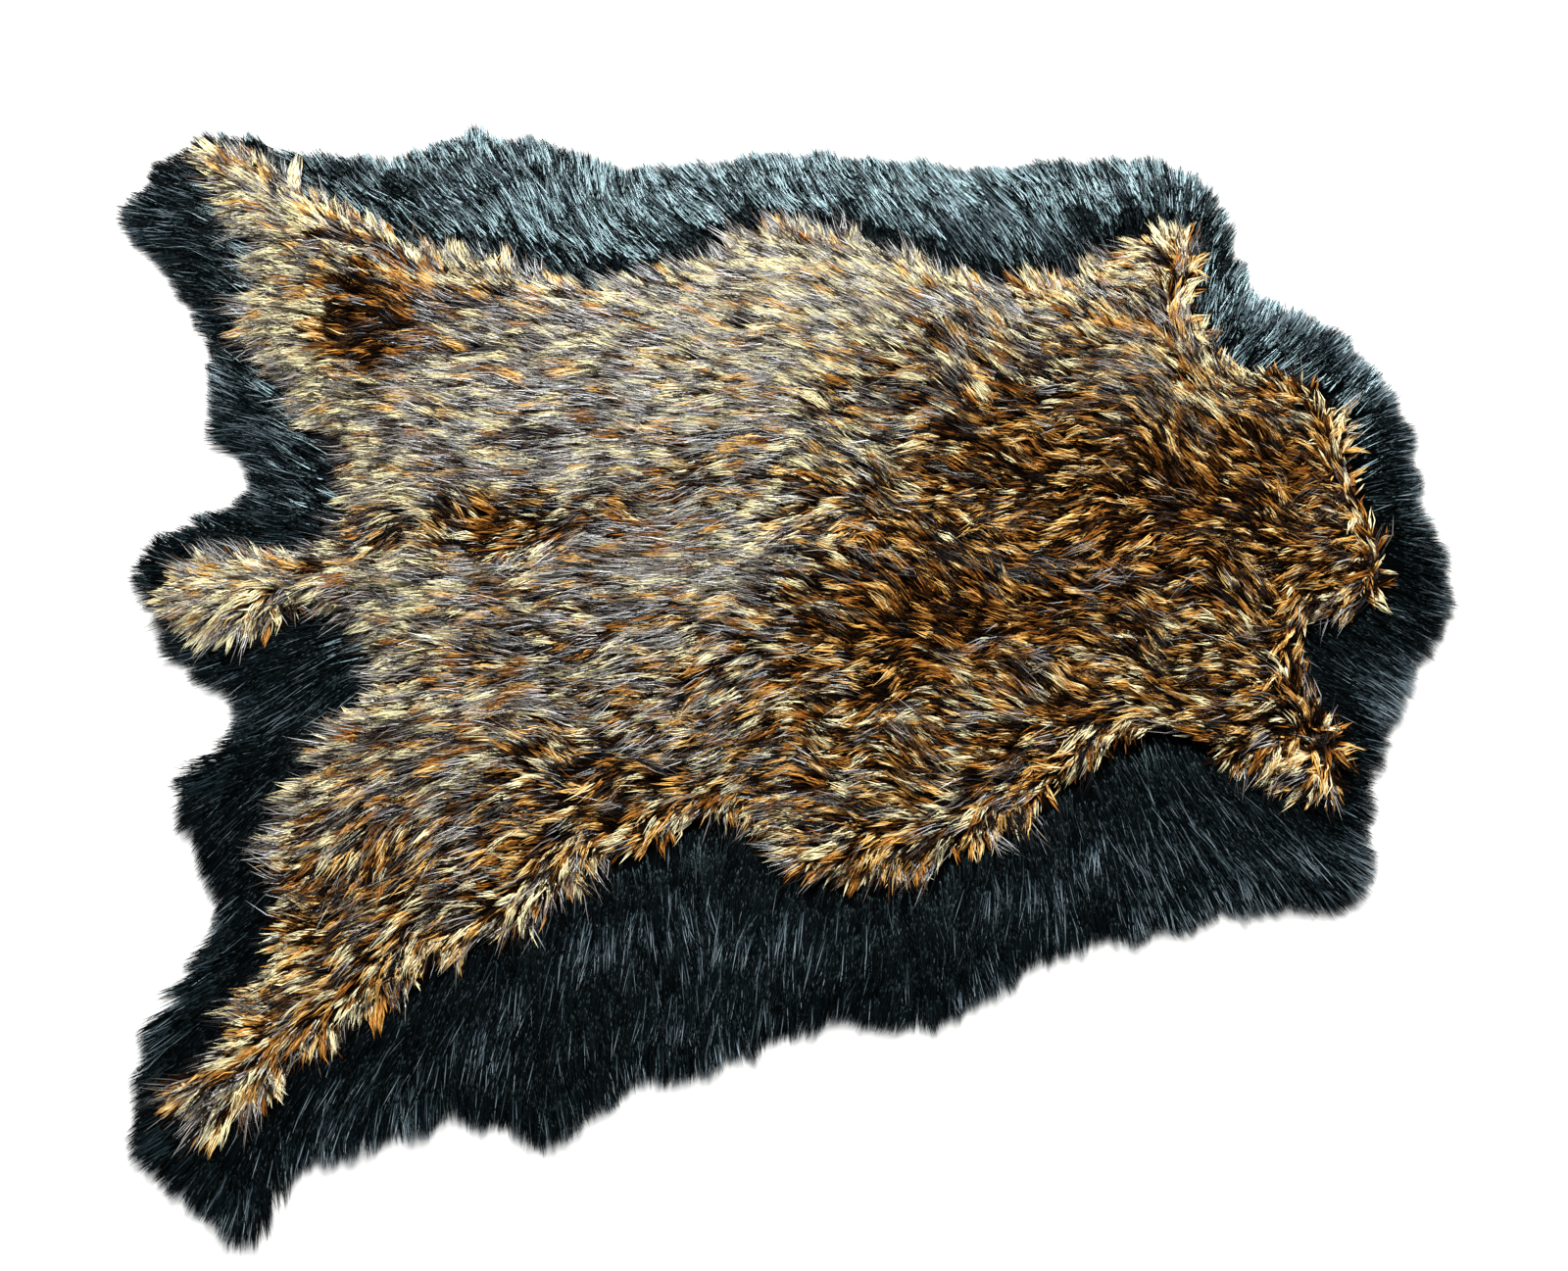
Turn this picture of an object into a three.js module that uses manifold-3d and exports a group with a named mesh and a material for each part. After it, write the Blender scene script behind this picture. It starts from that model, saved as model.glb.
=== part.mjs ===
// A deerhide rug of long-pile faux fur, lying flat: a black shag base cut to the outline of
// a hide, and a smaller brindled pelt laid and sewn on top of it.
// Millimetres. X runs from the tail to the neck, Y from the near legs to the far legs, and Z
// up from the floor. The origin is under the middle of the rug.
import * as THREE from 'three';
import { mergeVertices } from 'three/addons/utils/BufferGeometryUtils.js';
import Module from 'manifold-3d';

const wasm = await Module();
wasm.setup();

// Driving sizes
const rugLength = 1520;
const rugWidth = 1326;
const backingGap = 0.3;

const shag = {
  bed: 12,
  nap: 19,
  rim: 12,
  fall: 60,
  lump: 5,
  lockReach: 28,
  lockPitch: 52,
  lockWidth: 56,
  lockHeight: 10.5,
};

const brindle = {
  nap: 22,
  rim: 12,
  fall: 70,
  lump: 6,
  lockReach: 24,
  lockPitch: 50,
  lockWidth: 50,
  lockHeight: 11,
};

// Lumps of the pile, and how finely the tops and the outlines are stepped
const lumpPitch = 86;
const gridCell = 34;
const outlineStep = 30;
const crowdedShare = 0.96;
const blockMargin = 10;
const aboveAll = 90;

// Locks: how far the root reaches under the fur, the form of the tip, the scatter of the
// tips and sizes, and the lean towards the tail, which ends where the neck starts
const lockSink = 16;
const lockTipHeight = 2.5;
const lockTipShare = 0.36;
const lockRingShift = 0.5;
const tipScatter = 2.5;
const tipSetBack = 1;
const widthScatter = 0.16;
const heightScatter = 0.1;
const leanToTail = 0.3;
const neckStart = 560;
const notchTurn = -0.75;

// The black pile is pressed flat under the pelt, and this far round it
const bedMargin = 9;

// Where the pile of the black base ends, from the far hind toe round by the neck. Each row is
// one point: its place along the rug, its place across it, and what part of the hide it is.
const shagOutline = [
  [-655, 664, 'far hind toe'],
  [-590, 654, 'far hind toe'],
  [-530, 627, 'far hock'],
  [-420, 608, 'far thigh'],
  [-320, 612, 'far thigh'],
  [-215, 598, 'far flank'],
  [-155, 563, 'far flank'],
  [-50, 557, 'far belly'],
  [110, 556, 'far belly'],
  [185, 529, 'far shoulder'],
  [300, 514, 'far shoulder'],
  [420, 510, 'far foreleg'],
  [535, 499, 'far fore toe'],
  [590, 452, 'far fore toe'],
  [611, 410, 'far fore heel'],
  [607, 350, 'far armpit'],
  [630, 285, 'far armpit'],
  [690, 252, 'far neck'],
  [735, 175, 'far neck'],
  [761, 110, 'neck end'],
  [755, 15, 'neck end'],
  [761, -65, 'neck end'],
  [742, -143, 'near neck'],
  [690, -205, 'near neck'],
  [645, -272, 'near armpit'],
  [612, -352, 'near armpit'],
  [597, -412, 'near fore heel'],
  [558, -448, 'near fore toe'],
  [440, -441, 'near foreleg'],
  [365, -458, 'near foreleg'],
  [245, -463, 'near shoulder'],
  [170, -502, 'near shoulder'],
  [85, -516, 'near belly'],
  [0, -512, 'near belly'],
  [-125, -548, 'near belly'],
  [-200, -555, 'near flank'],
  [-290, -598, 'near flank'],
  [-380, -570, 'near thigh'],
  [-460, -588, 'near thigh'],
  [-535, -600, 'near hock'],
  [-562, -638, 'near hind toe'],
  [-606, -662, 'near hind toe'],
  [-648, -618, 'near hind toe'],
  [-706, -572, 'near hind heel'],
  [-710, -470, 'near hind heel'],
  [-696, -418, 'near hind leg'],
  [-664, -396, 'near hind leg'],
  [-638, -312, 'near hind leg'],
  [-668, -240, 'near rump'],
  [-680, -180, 'near rump'],
  [-655, -143, 'near rump'],
  [-610, -104, 'near notch by the tail'],
  [-676, -55, 'tail'],
  [-704, 12, 'tail'],
  [-734, 80, 'tip of the tail'],
  [-664, 132, 'tail'],
  [-606, 156, 'far notch by the tail'],
  [-622, 204, 'far rump'],
  [-648, 230, 'far rump'],
  [-645, 335, 'far hind leg'],
  [-685, 420, 'far hind leg'],
  [-716, 482, 'far hind leg'],
  [-757, 541, 'far hind heel'],
  [-732, 592, 'far hind toe'],
  [-702, 648, 'far hind toe'],
];

// Where the pile of the brindled pelt ends, in the same order and with the same columns.
const brindleOutline = [
  [-672, 645, 'far hind toe'],
  [-620, 630, 'far hind toe'],
  [-545, 600, 'far hock'],
  [-490, 540, 'far thigh'],
  [-425, 508, 'far thigh'],
  [-370, 458, 'far thigh'],
  [-295, 446, 'far flank'],
  [-230, 403, 'far waist'],
  [-140, 397, 'far waist'],
  [-50, 412, 'far belly'],
  [20, 450, 'far belly'],
  [100, 440, 'far belly'],
  [190, 405, 'far shoulder'],
  [290, 352, 'far shoulder'],
  [380, 348, 'far foreleg'],
  [455, 380, 'far foreleg'],
  [530, 405, 'far fore toe'],
  [566, 385, 'far fore toe'],
  [555, 290, 'far fore leg'],
  [580, 212, 'far armpit'],
  [655, 184, 'far neck'],
  [695, 125, 'far neck'],
  [697, 30, 'neck end'],
  [704, -46, 'neck end'],
  [688, -115, 'near neck'],
  [640, -140, 'near neck'],
  [590, -152, 'near armpit'],
  [604, -205, 'near foreleg'],
  [601, -300, 'near foreleg'],
  [572, -350, 'near fore toe'],
  [500, -322, 'near fore toe'],
  [385, -268, 'near foreleg'],
  [300, -303, 'near shoulder'],
  [220, -345, 'near belly'],
  [90, -385, 'near belly'],
  [0, -378, 'near belly'],
  [-85, -312, 'near waist'],
  [-190, -333, 'near waist'],
  [-290, -388, 'near flank'],
  [-400, -435, 'near thigh'],
  [-545, -521, 'near hock'],
  [-632, -580, 'near hind toe'],
  [-650, -540, 'between the near hind toes'],
  [-690, -520, 'near hind toe'],
  [-628, -455, 'near hind leg'],
  [-580, -370, 'near hind leg'],
  [-568, -240, 'near rump'],
  [-515, -153, 'near rump'],
  [-470, -85, 'near rump'],
  [-510, -22, 'root of the tail'],
  [-600, -38, 'tail'],
  [-680, -5, 'tail'],
  [-701, 48, 'tip of the tail'],
  [-615, 88, 'tail'],
  [-520, 96, 'root of the tail'],
  [-502, 170, 'far rump'],
  [-555, 270, 'far rump'],
  [-603, 350, 'far hind leg'],
  [-604, 475, 'far hind leg'],
  [-650, 560, 'far hind leg'],
];

// Locks that stand out past the line of the rest: the place of the tip, the width, and the
// way the lock points.
const longLocks = [
  [-315, 641, 46, 0, 1],
  [-252, 618, 40, 0, 1],
  [-761, 545, 50, -1, 0],
  [232, 535, 38, 0, 1],
  [104, -525, 40, 0, -1],
  [58, -518, 34, 0, -1],
];

// Creases that packing has left in the pelt, each a straight soft trough between two ends.
const creases = [
  { place: 'along the back', from: [-520, 62], to: [690, 38], depth: 7, width: 34 },
  { place: 'across the far thigh', from: [-372, 455], to: [-345, 300], depth: 7, width: 30 },
  { place: 'across the far shoulder', from: [262, 235], to: [286, 60], depth: 5, width: 36 },
  { place: 'across the near waist', from: [-172, -320], to: [-20, -215], depth: 6, width: 34 },
];

// A closed smooth curve through the rows of an outline, as points at an even step.
function smoothLoop(rows) {
  const corners = rows.map(([x, y]) => new THREE.Vector3(x, y, 0));
  const curve = new THREE.CatmullRomCurve3(corners, true, 'centripetal');
  const count = Math.round(curve.getLength() / outlineStep);
  const points = curve.getSpacedPoints(count).slice(0, count);
  return points.map((point) => new THREE.Vector2(point.x, point.y));
}

// The way out of a loop at one of its points. The loops run clockwise seen from above.
function outward(loop, index) {
  const before = loop[(index + loop.length - 1) % loop.length];
  const after = loop[(index + 1) % loop.length];
  const along = after.clone().sub(before).normalize();
  return new THREE.Vector2(-along.y, along.x);
}

function distanceToSegment(point, start, end) {
  const span = end.clone().sub(start);
  const share = point.clone().sub(start).dot(span) / span.lengthSq();
  const nearest = start.clone().addScaledVector(span, THREE.MathUtils.clamp(share, 0, 1));
  return point.distanceTo(nearest);
}

function distanceToLoop(point, loop) {
  const gaps = loop.map((start, i) => distanceToSegment(point, start, loop[(i + 1) % loop.length]));
  return Math.min(...gaps);
}

function isInside(point, loop) {
  let inside = false;
  loop.forEach((a, i) => {
    const b = loop[(i + 1) % loop.length];
    const crosses = (a.y > point.y) !== (b.y > point.y);
    if (crosses && point.x < a.x + ((point.y - a.y) / (b.y - a.y)) * (b.x - a.x)) {
      inside = !inside;
    }
  });
  return inside;
}

// The loop moved inwards by a distance. Points that crowd together inside a toe are dropped.
function movedIn(loop, distance) {
  const moved = loop.map((point, i) => point.clone().addScaledVector(outward(loop, i), -distance));
  return moved.filter((point) => distanceToLoop(point, loop) > Math.abs(distance) * crowdedShare);
}

// Soft uneven lumps of the pile, between -1 and 1.
function lumps(x, y) {
  const wave = (2 * Math.PI) / lumpPitch;
  const drift = 1.6 * Math.sin((y * wave) / 2.3) + 0.9 * Math.sin(((x + y) * wave) / 3.1);
  const broad = Math.sin(x * wave * 0.8 + drift) * Math.cos(y * wave * 0.9 - drift * 0.7);
  const fine = Math.sin(x * wave * 1.7 - y * wave * 1.2 + drift);
  return 0.65 * broad + 0.35 * fine;
}

function creaseDepth(point) {
  const depths = creases.map(({ from, to, depth, width }) => {
    const gap = distanceToSegment(point, new THREE.Vector2(...from), new THREE.Vector2(...to));
    return depth * Math.exp(-((gap / width) ** 2) * 2);
  });
  return Math.max(...depths);
}

// Thickness of a fur: thin at its cut edge, full and lumpy inside.
function furThickness(point, edge, fur) {
  const inside = isInside(point, edge);
  const depthInside = inside ? distanceToLoop(point, edge) : 0;
  const share = THREE.MathUtils.smoothstep(depthInside, 0, fur.fall);
  return fur.rim + share * (fur.nap - fur.rim + fur.lump * lumps(point.x, point.y));
}

function toSolid(geometry) {
  geometry.deleteAttribute('normal');
  geometry.deleteAttribute('uv');
  const merged = mergeVertices(geometry, 0.001);
  const mesh = new wasm.Mesh({
    numProp: 3,
    vertProperties: merged.attributes.position.array,
    triVerts: new Uint32Array(merged.index.array),
  });
  return new wasm.Manifold(mesh);
}

function toGeometry(solid) {
  const mesh = solid.getMesh();
  const geometry = new THREE.BufferGeometry();
  geometry.setAttribute('position', new THREE.BufferAttribute(mesh.vertProperties, 3));
  geometry.setIndex(new THREE.BufferAttribute(mesh.triVerts, 1));
  geometry.computeVertexNormals();
  return geometry;
}

// An upright prism on a loop, between two heights.
function prism(loop, bottom, top) {
  const geometry = new THREE.ExtrudeGeometry(new THREE.Shape(loop), {
    depth: top - bottom,
    bevelEnabled: false,
  });
  geometry.translate(0, 0, bottom);
  return toSolid(geometry);
}

// A block over the whole rug with a flat underside and a top at topHeight(point).
function lumpyBlock(bottom, topHeight) {
  const columns = Math.ceil(rugLength / gridCell);
  const rows = Math.ceil(rugWidth / gridCell);
  const length = rugLength + 2 * blockMargin;
  const width = rugWidth + 2 * blockMargin;
  const geometry = new THREE.BoxGeometry(length, width, 1, columns, rows, 1);
  const position = geometry.attributes.position;
  for (let i = 0; i < position.count; i += 1) {
    const point = new THREE.Vector2(position.getX(i), position.getY(i));
    position.setZ(i, position.getZ(i) > 0 ? topHeight(point) : bottom);
  }
  return toSolid(geometry);
}

// One lock of pile: three sides, flat below, with a ridge that runs down to a blunt tip. Its
// rings are the root, one ring past the cut edge of the fur, and the tip.
function lock(tip, direction, length, width, height, bottom) {
  const geometry = new THREE.CylinderGeometry(1, 1, 1, 3, 2);
  const position = geometry.attributes.position;
  const side = new THREE.Vector2(direction.y, -direction.x);
  for (let i = 0; i < position.count; i += 1) {
    const share = (position.getY(i) + 0.5) ** lockRingShift;
    const along = (share - 1) * length;
    const halfWidth = (width / 2) * (lockTipShare + (1 - lockTipShare) * Math.sqrt(1 - share ** 3));
    const sideways = (position.getX(i) / Math.sin(Math.PI / 3)) * halfWidth;
    const rise = (position.getZ(i) + 0.5) / 1.5;
    const ridge = lockTipHeight + (height - lockTipHeight) * (1 - share ** 2);
    const x = tip.x + direction.x * along + side.x * sideways;
    const y = tip.y + direction.y * along + side.y * sideways;
    position.setXYZ(i, x, y, bottom + rise * ridge);
  }
  return toSolid(geometry);
}

// An even spread of values between -1 and 1, the same on each run.
function unevenness(index) {
  const value = Math.sin(index * 12.9898) * 43758.5453;
  return 2 * (value - Math.floor(value)) - 1;
}

// The pile leans a little towards the tail, but for the neck end.
function lie(point, out) {
  const lean = point.x < neckStart ? leanToTail : 0;
  return new THREE.Vector2(out.x - lean, out.y).normalize();
}

// Locks side by side along a loop. None stands in a notch, where they would close it.
function rimLocks(loop, fur, bottom) {
  const locks = [];
  const step = fur.lockPitch / outlineStep;
  const count = Math.floor(loop.length / step);
  for (let n = 0; n < count; n += 1) {
    const i = Math.round(n * step) % loop.length;
    const ahead = outward(loop, (i + 2) % loop.length);
    const behind = outward(loop, (i + loop.length - 2) % loop.length);
    if (ahead.cross(behind) < notchTurn) {
      continue;
    }
    const out = outward(loop, i);
    const width = fur.lockWidth * (1 + widthScatter * unevenness(n));
    const height = fur.lockHeight * (1 + heightScatter * unevenness(n + 500));
    const tip = loop[i].clone().addScaledVector(out, tipScatter * unevenness(n + 900) - tipSetBack);
    locks.push(lock(tip, lie(tip, out), fur.lockReach + lockSink, width, height, bottom));
  }
  return locks;
}

function standingOutLocks(fur) {
  return longLocks.map(([x, y, width, outX, outY]) => {
    const tip = new THREE.Vector2(x, y);
    const out = new THREE.Vector2(outX, outY);
    return lock(tip, out, fur.lockReach + 3 * lockSink, width, fur.lockHeight, 0);
  });
}

function joined(slab, locks) {
  return locks.reduce((whole, piece) => whole.add(piece), slab);
}

function makeBase(peltLoop) {
  const loop = smoothLoop(shagOutline);
  const edge = movedIn(loop, shag.lockReach);
  const block = lumpyBlock(-blockMargin, (point) => furThickness(point, edge, shag));
  const slab = block.intersect(prism(edge, 0, aboveAll));
  const locks = [...rimLocks(loop, shag, 0), ...standingOutLocks(shag)];
  const pressedBed = prism(movedIn(peltLoop, -bedMargin), shag.bed, aboveAll);
  return joined(slab, locks).subtract(pressedBed);
}

function makePelt(loop) {
  const bottom = shag.bed + backingGap;
  const edge = movedIn(loop, brindle.lockReach);
  const topHeight = (point) => bottom + furThickness(point, edge, brindle) - creaseDepth(point);
  const block = lumpyBlock(bottom - blockMargin, topHeight);
  const slab = block.intersect(prism(edge, bottom, aboveAll));
  return joined(slab, rimLocks(loop, brindle, bottom));
}

const peltLoop = smoothLoop(brindleOutline);
const blackFur = new THREE.MeshStandardMaterial({ color: 0x14181b, roughness: 0.75, metalness: 0 });
const brindledFur = new THREE.MeshStandardMaterial({ color: 0x8a6a48, roughness: 0.8, metalness: 0 });

const base = new THREE.Mesh(toGeometry(makeBase(peltLoop)), blackFur);
base.name = 'base';
const pelt = new THREE.Mesh(toGeometry(makePelt(peltLoop)), brindledFur);
pelt.name = 'pelt';

const rug = new THREE.Group();
rug.add(base, pelt);
base.geometry.computeBoundingBox();
const middle = base.geometry.boundingBox.getCenter(new THREE.Vector3());
rug.position.set(-middle.x, -middle.y, 0);

export default rug;
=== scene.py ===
import math
import bmesh
import bpy
import numpy as np
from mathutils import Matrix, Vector
from mathutils.bvhtree import BVHTree


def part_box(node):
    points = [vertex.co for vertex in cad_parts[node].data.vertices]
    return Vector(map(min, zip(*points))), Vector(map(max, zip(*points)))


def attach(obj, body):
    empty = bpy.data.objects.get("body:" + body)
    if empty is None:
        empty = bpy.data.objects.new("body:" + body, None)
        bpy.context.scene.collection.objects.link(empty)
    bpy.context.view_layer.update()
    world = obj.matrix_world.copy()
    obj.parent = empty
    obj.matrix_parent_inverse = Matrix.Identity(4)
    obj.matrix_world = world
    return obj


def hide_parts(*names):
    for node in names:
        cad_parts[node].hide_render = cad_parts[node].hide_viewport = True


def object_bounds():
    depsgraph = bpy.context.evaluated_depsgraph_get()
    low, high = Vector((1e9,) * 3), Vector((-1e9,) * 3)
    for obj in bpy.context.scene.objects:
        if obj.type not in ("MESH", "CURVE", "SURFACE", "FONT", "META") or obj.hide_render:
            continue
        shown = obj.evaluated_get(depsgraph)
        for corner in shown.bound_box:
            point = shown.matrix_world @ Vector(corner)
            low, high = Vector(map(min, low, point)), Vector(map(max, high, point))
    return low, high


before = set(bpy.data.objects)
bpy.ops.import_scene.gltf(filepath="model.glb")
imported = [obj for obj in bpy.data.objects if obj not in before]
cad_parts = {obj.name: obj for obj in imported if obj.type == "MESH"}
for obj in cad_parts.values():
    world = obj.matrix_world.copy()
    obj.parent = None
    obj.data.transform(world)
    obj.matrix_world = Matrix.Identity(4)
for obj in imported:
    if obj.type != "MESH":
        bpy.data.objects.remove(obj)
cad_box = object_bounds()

# The photographer stands at the near side of the rug and looks steeply down on it, turned a
# little from the line across its back. The lens is a normal one.
photo_camera = bpy.data.cameras.new("photo_camera")
photo_camera.lens = 38.0
photo_camera.sensor_width = 36.0
photo_camera_object = bpy.data.objects.new("photo_camera", photo_camera)
bpy.context.scene.collection.objects.link(photo_camera_object)
photo_camera_object.location = (-0.064, -0.712, 1.746)
photo_camera_object.rotation_euler = (math.radians(20.0), 0.0, math.radians(-5.848))
bpy.context.scene.camera = photo_camera_object

# A pale matt studio floor without a pattern, far wider than the rug. It lies just under the
# rug's backing, so that the two share no face.
bpy.ops.object.select_all(action="DESELECT")
bpy.ops.mesh.primitive_plane_add(size=14.0, location=(0.0, 0.0, -0.0008))
studio_floor = bpy.context.object
studio_floor.name = "studio_floor"
floor_paint = bpy.data.materials.new("studio_floor_paint")
floor_paint.use_nodes = True
floor_shader = floor_paint.node_tree.nodes["Principled BSDF"]
floor_shader.inputs["Base Color"].default_value = (0.94, 0.94, 0.94, 1.0)
floor_shader.inputs["Roughness"].default_value = 0.7
floor_shader.inputs["Specular IOR Level"].default_value = 0.2
studio_floor.data.materials.append(floor_paint)

# Soft studio light: a broad key from beyond the far side, so that the far border shines and
# the near edge of the pelt shades the black, a weak fill from the near left, a faint surround.
def soft_box(name, place, width, height, power, colour):
    """A broad lamp that faces the middle of the rug."""
    lamp = bpy.data.lights.new(name, "AREA")
    lamp.shape = "RECTANGLE"
    lamp.size = width
    lamp.size_y = height
    lamp.energy = power
    lamp.color = colour
    holder = bpy.data.objects.new(name, lamp)
    bpy.context.scene.collection.objects.link(holder)
    holder.location = place
    holder.rotation_euler = (-Vector(place)).to_track_quat("-Z", "Y").to_euler()


soft_box(
    "key_light",
    place=(0.3, 4.0, 4.0),
    width=2.8,
    height=3.2,
    power=800.0,
    colour=(1.0, 0.99, 0.96),
)
soft_box(
    "fill_light",
    place=(-2.4, -2.6, 3.4),
    width=2.6,
    height=2.6,
    power=24.0,
    colour=(0.80, 0.92, 1.0),
)
surround = bpy.data.worlds.new("surround")
surround.use_nodes = True
surround.node_tree.nodes["Background"].inputs["Color"].default_value = (1.0, 1.0, 1.0, 1.0)
surround.node_tree.nodes["Background"].inputs["Strength"].default_value = 0.05
bpy.context.scene.world = surround
bpy.context.scene.view_settings.view_transform = "Standard"

# The black base is cut from a long-pile faux fur with a knitted backing. Its cut edge runs
# inside the outline that the locks of its pile reach, and it lies flat on the floor.
def signed_area(loop):
    """Area inside a loop, positive where it runs anticlockwise."""
    ahead = np.roll(loop, -1, axis=0)
    return 0.5 * float(np.sum(loop[:, 0] * ahead[:, 1] - ahead[:, 0] * loop[:, 1]))


def footprint(node_name):
    """Corner points of the underside of a CAD node, in order round it."""
    same_point = 1e-6
    same_height = 1e-5
    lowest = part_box(node_name)[0].z
    shape = bmesh.new()
    shape.from_mesh(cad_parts[node_name].data)
    bmesh.ops.remove_doubles(shape, verts=shape.verts, dist=same_point)
    low = {corner for corner in shape.verts if corner.co.z < lowest + same_height}
    under = {face for face in shape.faces if all(corner in low for corner in face.verts)}
    rim = [edge for edge in shape.edges if sum(face in under for face in edge.link_faces) == 1]
    edges_at = {}
    for edge in rim:
        for corner in edge.verts:
            edges_at.setdefault(corner, []).append(edge)
    unused = set(rim)
    loops = []
    for first in rim:
        if first not in unused:
            continue
        unused.discard(first)
        start, corner = first.verts
        loop = [start.co.xy.copy()]
        while corner != start:
            loop.append(corner.co.xy.copy())
            edge = next(e for e in edges_at[corner] if e in unused)
            unused.discard(edge)
            corner = edge.other_vert(corner)
        loops.append(np.array(loop))
    shape.free()
    loop = max(loops, key=len)
    return loop if signed_area(loop) > 0 else loop[::-1]


def evenly_spaced(loop, step):
    """A loop with its points a step apart."""
    closed = np.vstack([loop, loop[:1]])
    run = np.concatenate([[0.0], np.cumsum(np.linalg.norm(np.diff(closed, axis=0), axis=1))])
    places = np.linspace(0.0, run[-1], int(run[-1] / step), endpoint=False)
    return np.column_stack([np.interp(places, run, closed[:, k]) for k in (0, 1)])


def softened(loop, spread):
    """An even loop with its scallops averaged away over a number of points."""
    shifts = np.arange(-3 * spread, 3 * spread + 1)
    weights = np.exp(-0.5 * (shifts / spread) ** 2)
    weights /= weights.sum()
    return np.sum([w * np.roll(loop, k, axis=0) for w, k in zip(weights, shifts)], axis=0)


def outward(loop):
    """Directions out of a loop at its points."""
    along = np.roll(loop, -1, axis=0) - np.roll(loop, 1, axis=0)
    along /= np.linalg.norm(along, axis=1)[:, None]
    return np.column_stack([along[:, 1], -along[:, 0]])


def inside(points, loop):
    """Whether each point lies inside a loop."""
    result = np.zeros(len(points), bool)
    for (ax, ay), (bx, by) in zip(loop, np.roll(loop, -1, axis=0)):
        if ay != by:
            crosses = (ay > points[:, 1]) != (by > points[:, 1])
            result ^= crosses & (points[:, 0] < ax + (points[:, 1] - ay) / (by - ay) * (bx - ax))
    return result


# The grid of the charts, which cover the whole rug and give a value anywhere on it
chart_step = 0.005
chart_margin = 0.05
chart_low = np.array(cad_box[0].xy) - chart_margin
chart_high = np.array(cad_box[1].xy) + chart_margin
chart_shape = tuple(np.ceil((chart_high - chart_low) / chart_step).astype(int) + 1)
chart_points = chart_low + chart_step * np.stack(np.indices(chart_shape), -1).reshape(-1, 2)


def depth_chart(loop):
    """How far inside a loop each point of the chart lies, negative outside it."""
    x, y = chart_points.T
    nearest = np.full(len(x), np.inf)
    for (ax, ay), (bx, by) in zip(loop, np.roll(loop, -1, axis=0)):
        dx, dy = bx - ax, by - ay
        share = np.clip(((x - ax) * dx + (y - ay) * dy) / (dx * dx + dy * dy), 0.0, 1.0)
        nearest = np.minimum(nearest, (x - ax - share * dx) ** 2 + (y - ay - share * dy) ** 2)
    side = np.where(inside(chart_points, loop), 1, -1)
    return (side * np.sqrt(nearest)).reshape(chart_shape)


def sampled(chart, points):
    """Values of a chart at points, evened out between its rows and columns."""
    place = np.clip((points - chart_low) / chart_step, 0, np.array(chart_shape) - 1.001)
    cell = place.astype(int)
    fx, fy = (place - cell).T
    i, j = cell.T
    near = chart[i, j] * (1 - fx) + chart[i + 1, j] * fx
    far = chart[i, j + 1] * (1 - fx) + chart[i + 1, j + 1] * fx
    return near * (1 - fy) + far * fy


def inset(line, reach):
    """A loop moved inwards, without the parts where it would cross itself."""
    least_share = 0.93
    moved = line - reach * outward(line)
    deep_enough = sampled(depth_chart(line), moved) > least_share * reach
    return evenly_spaced(moved[deep_enough], 2 * outline_step)


def cut_cloth(name, loop, underside, thickness, finish):
    """A flat cloth with a loop for its cut edge, a closed mesh that lies level."""
    mesh = bpy.data.meshes.new(name)
    mesh.from_pydata([(x, y, underside) for x, y in loop], [], [list(range(len(loop)))])
    mesh.materials.append(finish)
    cloth = bpy.data.objects.new(name, mesh)
    bpy.context.scene.collection.objects.link(cloth)
    bpy.ops.object.select_all(action="DESELECT")
    bpy.context.view_layer.objects.active = cloth
    cloth.select_set(True)
    bpy.ops.object.mode_set(mode="EDIT")
    bpy.ops.mesh.select_all(action="SELECT")
    bpy.ops.mesh.quads_convert_to_tris(quad_method="BEAUTY", ngon_method="BEAUTY")
    bpy.ops.object.mode_set(mode="OBJECT")
    wall = cloth.modifiers.new("thickness", "SOLIDIFY")
    wall.thickness = thickness
    wall.offset = 1.0
    bpy.ops.object.modifier_apply(modifier="thickness")
    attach(cloth, "root")
    return cloth


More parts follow.
